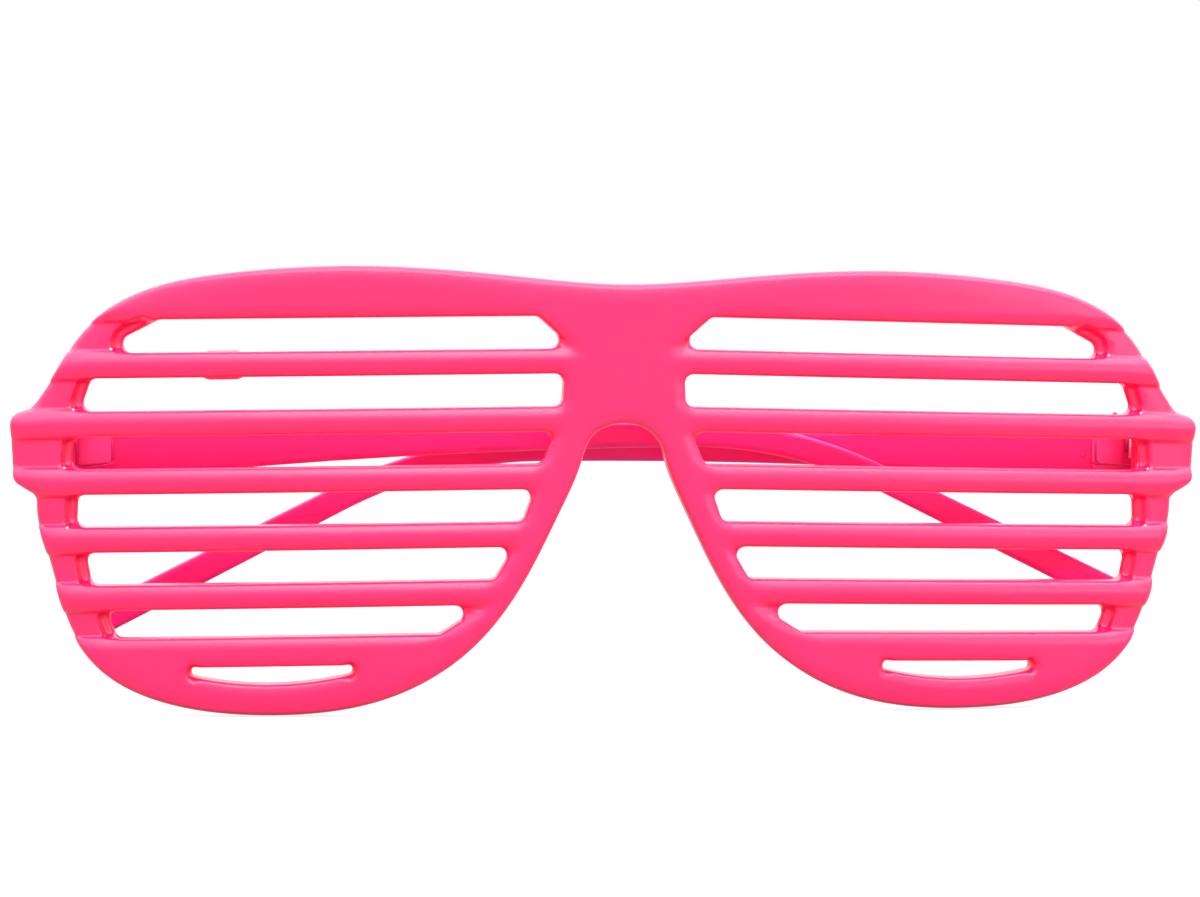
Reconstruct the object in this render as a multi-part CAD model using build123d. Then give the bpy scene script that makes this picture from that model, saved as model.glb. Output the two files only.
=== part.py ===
from build123d import *
import math
import os

# Slatted novelty glasses, folded.
# X runs across the face, the front looks along -Y and +Z is up as worn.
# The origin is the top of the nose arch, on the crest of the front. Millimetres.

# Sizes of the front
half_width = 74.4
brow_height = 19.0
bridge_dip = 1.95
brow_width = 6.27
slat_height = 3.08
slot_height = 3.97
slat_count = 5
last_slot_height = 3.47
lower_bar_height = 3.6
crescent_height = 2.2
rim_width = 4.01
front_depth = 3.2
wrap_radius = 575.0
droop_angle = 1.0

# Edges of the front
slot_corner_radius = 1.1
slot_front_radius = 0.75
slot_back_radius = 0.35
crescent_end_height = 0.7
crescent_corner_radius = 0.3

# Panels between the slats on the outer rims
panel_depth = 0.9
panel_shoulder_radius = 0.5
panel_start = 1.6

# Lugs that carry the hinges
hinge_height_on_front = 4.0
lug_height = 9.6
lug_length = 7.5
lug_chamfer = 1.4
lug_step = 1.35
lug_corner_radius = 1.6
lug_overlap = 1.0

# Gate pad left by the mould behind the first slat
gate_pad_length = 6.2
gate_pad_height = 3.6
gate_pad_depth = 0.8
gate_pad_reach = 48.7
gate_pad_drop = 0.1

# Hinges
knuckle_radius = 1.1
knuckle_gap = 0.05
hinge_offset = 1.2
hinge_height = 4.2
leaf_thickness = 0.8
front_leaf_length = 3.1
temple_leaf_length = 7.7
leaf_corner_radius = 0.5
leaf_proud = 0.25
leaf_step = 3.6
anchor_radius = 0.6
anchor_length = 1.2
anchor_head_radius = 0.9
anchor_head_length = 0.5
screw_radius = 0.5
screw_clearance = 0.03
screw_head_radius = 0.9
screw_head_height = 0.45
screw_slot_width = 0.25
screw_slot_depth = 0.2
hinge_lean = 0.75

# Temples
temple_thickness = 2.9
temple_end_height = 9.0
temple_end_rise = 4.3
temple_bend_height = 3.2
temple_bend_rise = 1.2
temple_tip_clearance = 3.88
temple_bend_radius = 56.0
temple_bend_angle = 26.5
temple_tip_length = 34.0
temple_tip_height = 3.7
temple_edge_radius = 0.7
temple_stop_clearance = 0.05

# Room between the crossed temples, and the left temple's share of the turn that makes it
fold_clearance = 0.393
left_fold_share = 0.5185

# Extra length of every cutting tool
overrun = 5.0

# Outline, right half, from the middle of the brow to the lug, then back to the nose arch.
# Across as shares of the half width, up as shares of the brow's rise above the lug.
brow_shares = [(0.162, 0.935), (0.405, 1.0), (0.649, 0.944), (0.770, 0.842), (0.851, 0.6685),
               (0.892, 0.500), (0.932, 0.239), (0.951, 0.122)]
# Across as shares of the half width, down as shares of the drop below the arch.
lens_shares = [(0.9580, 0.300), (0.9460, 0.420), (0.9270, 0.562), (0.8960, 0.740), (0.8510, 0.855),
               (0.7430, 0.963), (0.5880, 1.0), (0.3780, 0.937), (0.2430, 0.762), (0.1620, 0.538),
               (0.1034, 0.295), (0.0703, 0.131), (0.0600, 0.068), (0.0430, 0.026)]
lug_foot_share = 0.9655
lug_end_share = 0.995
brow_foot_share = 0.975
lug_slope_share = 0.045
gate_pad_round_share = 0.45

# Where along the half width the turned slots keep the height of the straight ones.
slot_reference_share = 0.42

# Where each slot ends, as shares of the half width.
# Nose side top and bottom, then outer side top and bottom.
slot_end_shares = [(0.1405, 0.0830, 0.7555, 0.8630), (0.0987, 0.1020, 0.8670, 0.8875),
                   (0.1113, 0.1361, 0.8940, 0.9020), (0.1490, 0.1689, 0.8926, 0.8956),
                   (0.1839, 0.2168, 0.8819, 0.8732), (0.2295, 0.3080, 0.8520, 0.8335)]
crescent_end_shares = (0.4517, 0.7134)

slat_pitch = slat_height + slot_height
front_height = (brow_width + slat_count * slat_pitch + last_slot_height + lower_bar_height
                + crescent_height + rim_width)
lens_drop = front_height - brow_height
slot_rise = half_width * slot_reference_share * math.tan(math.radians(droop_angle))
first_slot_top = brow_height - brow_width + slot_rise


def sag(across, radius=wrap_radius):
    """How far a circle about the wrap axis has gone back at a distance across."""
    return wrap_radius - math.sqrt(radius ** 2 - across ** 2)


lug_back_depth = sag(half_width) + front_depth + lug_step
hinge_across = half_width - temple_thickness - hinge_offset
hinge_back = lug_back_depth + hinge_offset
hinge_drop = -hinge_height_on_front
temple_butt = -hinge_offset + temple_stop_clearance
temple_turn = math.radians(temple_bend_angle)
temple_end_run = (temple_bend_radius * math.sin(temple_turn)
                  + (temple_tip_length + temple_tip_height / 2) * math.cos(temple_turn))
temple_straight = 2 * hinge_across - temple_tip_clearance - temple_butt - temple_end_run

# How far each temple is turned past or short of flat against the front
fold_spread = math.degrees(math.asin((temple_thickness + fold_clearance) / hinge_across))
left_overfold = left_fold_share * fold_spread
right_underfold = fold_spread - left_overfold


def mirrored(shape):
    return mirror(shape, about=Plane.YZ)


def droop_right(shape):
    """Turns a tool for the right lens so that it falls away from the nose."""
    return Rot(0, droop_angle, 0) * shape


# Outline of the front

def outline_face():
    """Right half of the outline, closed down the middle of the nose."""
    lug_top = hinge_drop + lug_height / 2
    lug_bottom = hinge_drop - lug_height / 2
    slope = lug_slope_share * lug_height
    rise = brow_height - lug_top
    brow_points = [(0, brow_height - bridge_dip)]
    brow_points += [(x * half_width, lug_top + z * rise) for x, z in brow_shares]
    brow_points += [(brow_foot_share * half_width, lug_top + slope)]
    lens_points = [(lug_foot_share * half_width, lug_bottom)]
    lens_points += [(x * half_width, -z * lens_drop) for x, z in lens_shares]
    lens_points += [(0, 0)]
    with BuildSketch(Plane.XZ) as sketch:
        with BuildLine():
            brow = Spline(brow_points, tangents=[(1, 0), (6, -1)])
            lug_upper = Line(brow @ 1, (half_width, lug_top - slope / 2))
            lug_side = Line(lug_upper @ 1, (lug_end_share * half_width, lug_bottom + lug_chamfer))
            lens = Spline(lens_points, tangents=[(-2, -1), (-1, 0)])
            Line(lug_side @ 1, lens @ 0)
            Line(lens @ 1, brow @ 0)
        make_face()
        corners = sketch.vertices().sort_by(Axis.X)[-2:]
        fillet(corners, lug_corner_radius)
    return sketch.sketch


def wrapped_slab(front_offset, back_offset):
    """Upright slab between two circles about the wrap axis, as deep as the two offsets say."""
    reach = half_width + overrun
    front_radius = wrap_radius - front_offset
    back_radius = wrap_radius - back_offset
    with BuildSketch() as plan:
        with BuildLine():
            front = ThreePointArc((-reach, sag(reach, front_radius)), (0, front_offset),
                                  (reach, sag(reach, front_radius)))
            back = ThreePointArc((-reach, sag(reach, back_radius)), (0, back_offset),
                                 (reach, sag(reach, back_radius)))
            Line(front @ 0, back @ 0)
            Line(front @ 1, back @ 1)
        make_face()
    tall = extrude(plan.sketch, front_height + 2 * overrun)
    return Pos(0, 0, -lens_drop - overrun) * tall


# Slots between the slats

def slot_limits(index):
    """Top and height of one slot, before the droop."""
    top = first_slot_top - index * slat_pitch
    height = slot_height if index < slat_count else last_slot_height
    return top, height


def slot_cutter(index):
    top, height = slot_limits(index)
    shares = slot_end_shares[index]
    corners = [(shares[0] * half_width, top), (shares[2] * half_width, top),
               (shares[3] * half_width, top - height), (shares[1] * half_width, top - height)]
    with BuildSketch(Plane.XZ) as sketch:
        with BuildLine():
            Polyline(corners, close=True)
        make_face()
        fillet(sketch.vertices(), slot_corner_radius)
    return droop_right(extrude(sketch.sketch, front_depth + lug_back_depth, both=True))


def crescent_cutter():
    """The last opening, flat above and bowed below."""
    top = first_slot_top - slat_count * slat_pitch - last_slot_height - lower_bar_height
    start = crescent_end_shares[0] * half_width
    end = crescent_end_shares[1] * half_width
    shoulder = top - crescent_end_height
    with BuildSketch(Plane.XZ) as sketch:
        with BuildLine():
            flat = Line((start, top), (end, top))
            right = Line(flat @ 1, (end, shoulder))
            left = Line(flat @ 0, (start, shoulder))
            ThreePointArc(left @ 1, ((start + end) / 2, top - crescent_height), right @ 1)
        make_face()
        fillet(sketch.vertices(), crescent_corner_radius)
    return droop_right(extrude(sketch.sketch, front_depth + lug_back_depth, both=True))


def panel_cutter(index):
    """Lowers the outer rim between two slats, with an S-shaped shoulder along each slat."""
    top, height = slot_limits(index)
    bottom = top - height
    foot = panel_depth - panel_shoulder_radius
    shares = slot_end_shares[index]
    start = min(shares[2], shares[3]) * half_width - panel_start
    with BuildSketch(Plane.YZ) as section:
        with BuildLine():
            high = top + panel_shoulder_radius
            low = bottom - panel_shoulder_radius
            front = Line((-overrun, low), (-overrun, high))
            crest_top = Line(front @ 1, (0, high))
            shoulder_top = RadiusArc(crest_top @ 1, (panel_shoulder_radius, top), panel_shoulder_radius)
            foot_top = RadiusArc(shoulder_top @ 1, (panel_depth, top - foot), -foot)
            crest_bottom = Line(front @ 0, (0, low))
            shoulder_bottom = RadiusArc(crest_bottom @ 1, (panel_shoulder_radius, bottom),
                                        -panel_shoulder_radius)
            foot_bottom = RadiusArc(shoulder_bottom @ 1, (panel_depth, bottom + foot), foot)
            Line(foot_top @ 1, foot_bottom @ 1)
        make_face()
    wrap_axis = Axis((0, wrap_radius, 0), (0, 0, 1))
    swing = math.degrees(math.asin((half_width + overrun - start) / wrap_radius))
    start_angle = math.degrees(math.asin(start / wrap_radius))
    band = revolve(section.sketch, wrap_axis, revolution_arc=swing)
    return droop_right(band.rotate(wrap_axis, start_angle))


# Front

def lug_block(outline):
    """Block behind the end of the front, square to the temple that closes on it."""
    depth = lug_back_depth - sag(half_width) - lug_overlap
    block = Box(lug_length, depth, lug_height)
    place = Pos(half_width - lug_length / 2, lug_back_depth - depth / 2, hinge_drop)
    return (place * block) & extrude(outline, lug_back_depth, both=True)


def gate_pad():
    """Oval pad that the mould leaves behind the first slat."""
    pad = Box(gate_pad_length, gate_pad_depth + slot_back_radius, gate_pad_height)
    pad = fillet(pad.edges().filter_by(Axis.Y), gate_pad_height * gate_pad_round_share)
    first_slat = first_slot_top - slot_height - slat_height / 2 - gate_pad_drop
    back = sag(gate_pad_reach, wrap_radius - front_depth) + (gate_pad_depth - slot_back_radius) / 2
    return droop_right(Pos(gate_pad_reach, back, first_slat) * pad)


def depth_faces(plate):
    """The crest face and the back face, which are the two largest."""
    return plate.faces().sort_by(SortBy.AREA)[-2:].sort_by(Axis.Y)


def loop_edges(face):
    return [edge for wire in face.inner_wires() for edge in wire.edges()]


def front_half():
    outline = outline_face()
    half = extrude(outline, front_depth + lug_back_depth, both=True) & wrapped_slab(0, front_depth)
    for index in range(slat_count + 1):
        half -= slot_cutter(index)
    half -= crescent_cutter()
    half = fillet(loop_edges(depth_faces(half)[0]), slot_front_radius)
    half = fillet(loop_edges(depth_faces(half)[1]), slot_back_radius)
    for index in range(slat_count + 1):
        half -= panel_cutter(index)
    return half + lug_block(outline)


# Hinges, made for the right side about a screw on Z, with the temple open along +Y

def hinge_slice(low_share, high_share, gap_below, gap_above):
    """Low and high ends of one knuckle, as shares of the hinge with a gap at each end."""
    low = -hinge_height / 2 + low_share * hinge_height + gap_below * knuckle_gap / 2
    high = -hinge_height / 2 + high_share * hinge_height - gap_above * knuckle_gap / 2
    return low, high


def standing_box(low_x, high_x, low_y, high_y, low_z, high_z):
    box = Box(high_x - low_x, high_y - low_y, high_z - low_z)
    return Pos((low_x + high_x) / 2, (low_y + high_y) / 2, (low_z + high_z) / 2) * box


def knuckle(low, high):
    barrel = Cylinder(knuckle_radius, high - low)
    return Pos(0, 0, (low + high) / 2) * barrel


def screw_bore():
    return Cylinder(screw_radius + screw_clearance, hinge_height + overrun)


def anchor():
    """Foot that the plastic grips, pointing along +Z from the back of a leaf."""
    stem = Pos(0, 0, anchor_length / 2) * Cylinder(anchor_radius, anchor_length)
    head = Cylinder(anchor_head_radius, anchor_head_length)
    return stem + Pos(0, 0, anchor_length + anchor_head_length / 2) * head


def front_leaf():
    """Plate let into the lug, with the upper and the lower knuckle."""
    plate = standing_box(-front_leaf_length, knuckle_radius, -hinge_offset - leaf_thickness, -hinge_offset,
                         -hinge_height / 2, hinge_height / 2)
    leaf = fillet(plate.edges().filter_by(Axis.Y), leaf_corner_radius)
    for low, high in (hinge_slice(0, 1 / 3, 0, 1), hinge_slice(2 / 3, 1, 1, 0)):
        leaf += knuckle(low, high)
        leaf += standing_box(-knuckle_radius, knuckle_radius, -hinge_offset - leaf_thickness / 2, 0,
                             low, high)
    foot = Rot(90, 0, 0) * anchor()
    leaf += Pos((knuckle_radius - front_leaf_length) / 2, -hinge_offset - leaf_thickness, 0) * foot
    return leaf - screw_bore()


def temple_leaf():
    """Plate let into the temple's inner face and proud of it past the knuckles, with the middle knuckle."""
    plate = standing_box(hinge_offset, hinge_offset + leaf_thickness, -knuckle_radius, temple_leaf_length,
                         -hinge_height / 2, hinge_height / 2)
    leaf = fillet(plate.edges().filter_by(Axis.X), leaf_corner_radius)
    pad = standing_box(hinge_offset - leaf_proud, hinge_offset + leaf_proud, leaf_step, temple_leaf_length,
                       -hinge_height / 2, hinge_height / 2)
    leaf += fillet(pad.edges().filter_by(Axis.X), leaf_corner_radius)
    low, high = hinge_slice(1 / 3, 2 / 3, 1, 1)
    leaf += knuckle(low, high)
    leaf += standing_box(0, hinge_offset + leaf_thickness / 2, -knuckle_radius, knuckle_radius, low, high)
    foot = Rot(0, 90, 0) * anchor()
    leaf += Pos(hinge_offset + leaf_thickness, temple_leaf_length / 2, 0) * foot
    return leaf - screw_bore()


def hinge_screw():
    shank = Cylinder(screw_radius, hinge_height)
    head = Pos(0, 0, (hinge_height + screw_head_height) / 2) * Cylinder(screw_head_radius, screw_head_height)
    slot = Box(2 * screw_head_radius + overrun, screw_slot_width, 2 * screw_slot_depth)
    return shank + head - Pos(0, 0, hinge_height / 2 + screw_head_height) * slot


# Temple, open along +Y on the right side, beside the same screw

def temple():
    start = temple_butt + temple_straight
    turn = temple_turn
    centre_z = temple_bend_rise - temple_bend_radius
    upper = temple_bend_radius + temple_bend_height / 2
    lower = temple_bend_radius - temple_bend_height / 2

    def on_bend(radius, angle):
        return (start + radius * math.sin(angle), centre_z + radius * math.cos(angle))

    def down_tip(radius, offset):
        """Where one edge of the tip ends, moved off its own line by an offset."""
        y, z = on_bend(radius, turn)
        return (y + temple_tip_length * math.cos(turn) + offset * math.sin(turn),
                z - temple_tip_length * math.sin(turn) + offset * math.cos(turn))

    flare = (temple_tip_height - temple_bend_height) / 2
    tip_middle = on_bend(temple_bend_radius, turn)
    tip_reach = temple_tip_length + temple_tip_height / 2
    tip_end = (tip_middle[0] + tip_reach * math.cos(turn), tip_middle[1] - tip_reach * math.sin(turn))
    with BuildSketch(Plane.YZ) as side:
        with BuildLine():
            bend_top = ThreePointArc(on_bend(upper, 0), on_bend(upper, turn / 2), on_bend(upper, turn))
            bend_low = ThreePointArc(on_bend(lower, 0), on_bend(lower, turn / 2), on_bend(lower, turn))
            end_top = (temple_butt, temple_end_rise)
            end_low = (temple_butt, temple_end_rise - temple_end_height)
            top = TangentArc(bend_top @ 0, end_top, tangent=(-1, 0))
            low = TangentArc(bend_low @ 0, end_low, tangent=(-1, 0))
            Line(top @ 1, low @ 1)
            tip_top = Line(bend_top @ 1, down_tip(upper, flare))
            tip_low = Line(bend_low @ 1, down_tip(lower, -flare))
            ThreePointArc(tip_top @ 1, tip_end, tip_low @ 1)
        make_face()
    bar = Pos(hinge_offset, 0, 0) * extrude(side.sketch, temple_thickness)
    long_faces = bar.faces().filter_by(Axis.X)
    past_butt = temple_butt + temple_edge_radius / 2
    long_edges = [edge for edge in long_faces.edges() if (edge @ 0.5).Y > past_butt]
    return fillet(long_edges, temple_edge_radius)


# Assembly

def at_right_hinge(shape):
    return Pos(hinge_across, hinge_back, hinge_drop) * Rot(0, -hinge_lean, 0) * shape


def at_left_hinge(shape):
    """The left side is the mirror image, with its screw leaning the same way as the right one."""
    return Pos(-hinge_across, hinge_back, hinge_drop) * Rot(0, -hinge_lean, 0) * mirrored(shape)


def main():
    os.makedirs("parts", exist_ok=True)
    open_temple = temple() - temple_leaf()
    right_fold = Rot(0, 0, 90 - right_underfold)
    left_fold = Rot(0, 0, 90 + left_overfold)
    half = front_half()
    front = half + mirrored(half) + mirrored(gate_pad())
    front -= at_right_hinge(front_leaf())
    front -= at_left_hinge(front_leaf())
    pieces = {
        "front_frame": front,
        "right_front_hinge_leaf": at_right_hinge(front_leaf()),
        "left_front_hinge_leaf": at_left_hinge(front_leaf()),
        "right_hinge_screw": at_right_hinge(hinge_screw()),
        "left_hinge_screw": at_left_hinge(hinge_screw()),
        "right_temple": at_right_hinge(right_fold * open_temple),
        "left_temple": at_left_hinge(left_fold * open_temple),
        "right_temple_hinge_leaf": at_right_hinge(right_fold * temple_leaf()),
        "left_temple_hinge_leaf": at_left_hinge(left_fold * temple_leaf()),
    }
    for name, piece in pieces.items():
        export_step(piece, "parts/" + name + ".step")
    print("hinge centres", hinge_across, hinge_back, hinge_drop, "front height", front_height)
    print("temple straight", temple_straight, "folds", 90 + left_overfold, 90 - right_underfold)


main()
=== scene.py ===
# %% [markdown]
# # Slatted novelty glasses
#
# A pair of pink toy glasses with slats where the lenses would be, folded and seen from the front.
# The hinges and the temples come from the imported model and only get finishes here.
# The front is one glossy moulding. Its surface is worked out again with numpy, because the real
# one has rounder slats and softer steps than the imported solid.

import math

import bpy
import numpy as np
from mathutils import Matrix, Vector
from mathutils.geometry import delaunay_2d_cdt


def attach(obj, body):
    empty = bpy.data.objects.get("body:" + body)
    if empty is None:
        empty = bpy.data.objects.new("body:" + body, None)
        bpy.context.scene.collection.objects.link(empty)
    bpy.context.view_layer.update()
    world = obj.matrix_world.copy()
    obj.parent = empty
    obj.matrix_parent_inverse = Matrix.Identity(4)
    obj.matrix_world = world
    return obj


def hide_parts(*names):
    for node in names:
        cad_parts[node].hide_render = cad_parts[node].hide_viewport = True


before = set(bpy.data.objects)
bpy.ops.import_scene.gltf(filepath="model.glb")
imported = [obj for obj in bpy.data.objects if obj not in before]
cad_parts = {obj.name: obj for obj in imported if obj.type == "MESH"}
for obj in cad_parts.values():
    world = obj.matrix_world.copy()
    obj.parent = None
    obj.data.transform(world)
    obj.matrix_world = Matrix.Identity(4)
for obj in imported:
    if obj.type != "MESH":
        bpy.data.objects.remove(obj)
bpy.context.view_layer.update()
MM = 0.001
print("nodes:", sorted(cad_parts))

# %% [markdown]
# ## Camera
#
# The glasses were photographed from a little to the left of the nose and slightly above it.
# A camera could be aimed with a Track To constraint, but its roll would be lost, so the
# matrix is built from the direction of view and the up direction.

# %% Camera
EYE = Vector((-37.78, -297.51, 13.43)) * MM
LOOK = Vector((0.11565, 0.99178, -0.05478)).normalized()
UP = Vector((-0.00159, 0.05534, 0.99847)).normalized()
FOCAL_LENGTH = 73.72
SENSOR_WIDTH = 36.0
NEAREST, FARTHEST = 0.01, 20.0

lens = bpy.data.cameras.new("camera")
lens.sensor_width = SENSOR_WIDTH
lens.lens = FOCAL_LENGTH
lens.clip_start = NEAREST
lens.clip_end = FARTHEST
camera = bpy.data.objects.new("camera", lens)
side = LOOK.cross(UP).normalized()
above = side.cross(LOOK)
camera.matrix_world = Matrix((
    (side.x, above.x, -LOOK.x, EYE.x),
    (side.y, above.y, -LOOK.y, EYE.y),
    (side.z, above.z, -LOOK.z, EYE.z),
    (0, 0, 0, 1)))
bpy.context.collection.objects.link(camera)
bpy.context.scene.camera = camera
bpy.context.scene.view_settings.view_transform = "Standard"
print("camera", [round(c / MM, 1) for c in camera.location], "mm, lens", lens.lens)

# %% [markdown]
# ## Sizes
#
# The front is a little wider than a face and wraps round it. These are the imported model's own
# sizes. They could be typed where they are used, but under a name each changes in one place.

# %% Sizes of the front, in millimetres
HALF = 74.4           # half of the whole width
BROW = 19.0           # highest point of the brow above the nose arch
BROW_DIP = 1.95       # how much lower the brow is in the middle
DROP = 35.8           # lowest point of the lenses below the nose arch
HINGE_Z = -4.0        # middle of the lugs
LUG_HIGH = 9.6
LUG_SLOPE = 0.432     # fall of the lug's top towards its end
LUG_CHAMFER = 1.4
LUG_ROUND = 1.6
DEPTH = 3.2           # thickness of the moulding
WRAP = 575.0          # radius of the circle that the front follows
LUG_BACK = 9.4        # how far back the lugs reach
LUG_LONG = 7.5
DROOP = math.radians(1.0)
SLAT = 3.08
SLOT = 3.97
LAST_SLOT = 3.47
PITCH = SLAT + SLOT
BROW_BAND = 6.27      # from the top of the brow to the first slot, at its highest place
BAND_AT = 0.42        # that place, as a share of the half width
FIRST_SLOT = BROW - BROW_BAND + HALF * BAND_AT * math.tan(DROOP)
SLOT_ROUND = 1.1
LUG_TOP = HINGE_Z + LUG_HIGH / 2
LUG_LOW = HINGE_Z - LUG_HIGH / 2
print("width", 2 * HALF, "height", BROW + DROP, "slot pitch", round(PITCH, 2), "mm")

# %% [markdown]
# ## Outline of the front
#
# The front's edge runs over the brow, round a squared lug at the hinge, and round the lens to
# the nose arch. It is drawn for the right half, and the left half is its mirror image. A Bezier
# curve object could hold it, but as an array it can also tell every point of the surface how
# far it is from the edge, which is what rounds the moulding.

# %% Smooth curves
def smooth_through(points, start, end, steps=60):
    """Cubic spline through the points. The parameter grows with the chord from point to point,
    one linear system makes the curvature run on, and the two end directions are given."""
    points = np.asarray(points, float)
    gaps = np.linalg.norm(np.diff(points, axis=0), axis=1)
    rise = np.diff(points, axis=0) / gaps[:, None]
    inner = np.arange(1, len(points) - 1)
    system = np.eye(len(points))
    system[inner, inner - 1] = gaps[inner]
    system[inner, inner] = 2 * (gaps[inner - 1] + gaps[inner])
    system[inner, inner + 1] = gaps[inner - 1]
    wanted = np.zeros_like(points)
    wanted[0] = np.asarray(start) / np.hypot(*start)
    wanted[-1] = np.asarray(end) / np.hypot(*end)
    wanted[inner] = 3 * (gaps[inner, None] * rise[inner - 1] + gaps[inner - 1, None] * rise[inner])
    slope = np.linalg.solve(system, wanted)
    t = np.linspace(0, 1, steps, endpoint=False)[None, :, None]
    p, q = points[:-1, None], points[1:, None]
    m, n = (slope[:-1] * gaps[:, None])[:, None], (slope[1:] * gaps[:, None])[:, None]
    curve = ((2 * t ** 3 - 3 * t ** 2 + 1) * p + (t ** 3 - 2 * t ** 2 + t) * m
             + (3 * t ** 2 - 2 * t ** 3) * q + (t ** 3 - t ** 2) * n)
    return np.vstack((curve.reshape(-1, 2), points[-1:]))


print("a curve through 3 places has",
      len(smooth_through([(0, 0), (1, 1), (2, 0)], (1, 1), (1, -1))), "points")

# %% [markdown]
# The real mould also has corners of one radius, at the lugs and in the slots. A smooth curve
# would swell on both sides of such a corner, so a corner gets a true arc.

# %% Rounded corners
def round_corner(before, corner, after, radius, steps=40):
    """Arc of that radius that touches both straight sides of a corner. Its centre is on the
    corner's bisector, and its points are the centre plus the radius turned step by step."""
    before, corner, after = (np.asarray(v, float) for v in (before, corner, after))
    u = (before - corner) / np.linalg.norm(before - corner)
    v = (after - corner) / np.linalg.norm(after - corner)
    half = math.acos(float(np.clip(u @ v, -1, 1))) / 2
    centre = corner + (u + v) / np.linalg.norm(u + v) * radius / math.sin(half)
    first = corner + u * radius / math.tan(half) - centre
    last = corner + v * radius / math.tan(half) - centre
    a = math.atan2(first[1], first[0])
    turn = (math.atan2(last[1], last[0]) - a + math.pi) % (2 * math.pi) - math.pi
    angles = a + turn * np.linspace(0, 1, steps)
    return centre + radius * np.stack((np.cos(angles), np.sin(angles)), axis=1)


print("a square corner's arc has", len(round_corner((1, 0), (0, 0), (0, 1), 0.5)), "points")

# %% [markdown]
# The brow and the lens each go through a few places, given as shares of the width and of the
# height, so that the curve keeps its character if a size changes. The real lug is a plain
# block with eased corners, so between the two curves come two corners with arcs.

# %% Outline
BROW_SHARES = [(0.162, 0.935), (0.405, 1.0), (0.649, 0.944), (0.770, 0.842), (0.851, 0.6685),
               (0.892, 0.500), (0.932, 0.239), (0.951, 0.122)]
LENS_SHARES = [(0.9580, 0.300), (0.9460, 0.420), (0.9270, 0.562), (0.8960, 0.740),
               (0.8510, 0.855), (0.7430, 0.963), (0.5880, 1.0), (0.3780, 0.937),
               (0.2430, 0.762), (0.1620, 0.538), (0.1034, 0.295), (0.0703, 0.131),
               (0.0600, 0.068), (0.0430, 0.026)]
FOOT_SHARE, HEEL_SHARE, LUG_LOWER_SHARE = 0.975, 0.9655, 0.995

brow_rise = BROW - LUG_TOP
foot = (FOOT_SHARE * HALF, LUG_TOP + LUG_SLOPE)
brow_places = [(x * HALF, LUG_TOP + z * brow_rise) for x, z in BROW_SHARES]
brow = smooth_through([(0, BROW - BROW_DIP)] + brow_places + [foot], (1, 0), (6, -1))
heel = (HEEL_SHARE * HALF, LUG_LOW)
lens_places = [(x * HALF, -z * DROP) for x, z in LENS_SHARES]
rim = smooth_through([heel] + lens_places + [(0, 0)], (-2, -1), (-1, 0))
lug_upper = (HALF, LUG_TOP - LUG_SLOPE / 2)
lug_lower = (LUG_LOWER_SHARE * HALF, LUG_LOW + LUG_CHAMFER)
right_half = np.vstack((brow,
                        round_corner(foot, lug_upper, lug_lower, LUG_ROUND),
                        round_corner(lug_upper, lug_lower, heel, LUG_ROUND),
                        rim))
left_half = (right_half * (-1, 1))[::-1]
outline_path = np.vstack((right_half[:-1], left_half[:-1]))[::-1]
print("outline from", outline_path.min(axis=0).round(2), "to", outline_path.max(axis=0).round(2))

# %% [markdown]
# ## Slots
#
# Six slots a side are cut straight through, with rounded corners, and a thin crescent under
# them. The slots of each lens fall away from the nose by one degree. Boolean cutters could make
# them, but as paths they also shape the slats beside them. They run the other way round than
# the outline does, so that the plastic is always on a path's left.

# %% Places of the slots
SLOT_ENDS = np.array([(0.1405, 0.0830, 0.7555, 0.8630), (0.0987, 0.1020, 0.8670, 0.8875),
                      (0.1113, 0.1361, 0.8940, 0.9020), (0.1490, 0.1689, 0.8926, 0.8956),
                      (0.1839, 0.2168, 0.8819, 0.8732), (0.2295, 0.3080, 0.8520, 0.8335)]) * HALF
SLOT_TOPS = FIRST_SLOT - PITCH * np.arange(6)
SLOT_LOWS = SLOT_TOPS - np.array([SLOT] * 5 + [LAST_SLOT])
CRESCENT_BAR = 3.6
CRESCENT = (0.4517 * HALF, 0.7134 * HALF)
CRESCENT_TOP = FIRST_SLOT - 5 * PITCH - LAST_SLOT - CRESCENT_BAR
CRESCENT_HIGH = 2.2
CRESCENT_END = 1.1
CRESCENT_ROUND = 0.52
BOW_SHARE = 0.96      # the bow stops short of the ends, to leave room for their corners


def droop(points):
    """Turns points of the right lens clockwise by the droop angle about the origin."""
    x, z = points[:, 0], points[:, 1]
    return np.stack((x * math.cos(DROOP) + z * math.sin(DROOP),
                     z * math.cos(DROOP) - x * math.sin(DROOP)), axis=1)


def slat_frame(x, z):
    """The same turn undone, with the left lens folded onto the right one."""
    across = np.abs(x)
    return (across * math.cos(DROOP) - z * math.sin(DROOP),
            across * math.sin(DROOP) + z * math.cos(DROOP))


print("slot tops", SLOT_TOPS.round(2), "lows", SLOT_LOWS.round(2))

# %% [markdown]
# The real slots have eased corners, since sharp ones would crack, and the lower edge of the
# crescent is an arc. Points could be rounded later, by a Bevel modifier on vertices. A path of
# straight sides and arcs has the right radius from the start.

# %% Slots and crescent
def rounded_path(corners, radius):
    """Closed path of straight sides with every corner rounded by an arc."""
    corners = [np.asarray(c, float) for c in corners]
    turns = zip(corners[-1:] + corners[:-1], corners, corners[1:] + corners[:1])
    return np.vstack([round_corner(b, c, a, radius) for b, c, a in turns])


def slot_path(index):
    """Four corners: level edges above and below, and a slanted side at each end."""
    nose_top, nose_low, outer_top, outer_low = SLOT_ENDS[index]
    top, low = SLOT_TOPS[index], SLOT_LOWS[index]
    return rounded_path([(nose_top, top), (outer_top, top), (outer_low, low), (nose_low, low)],
                        SLOT_ROUND)


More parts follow.
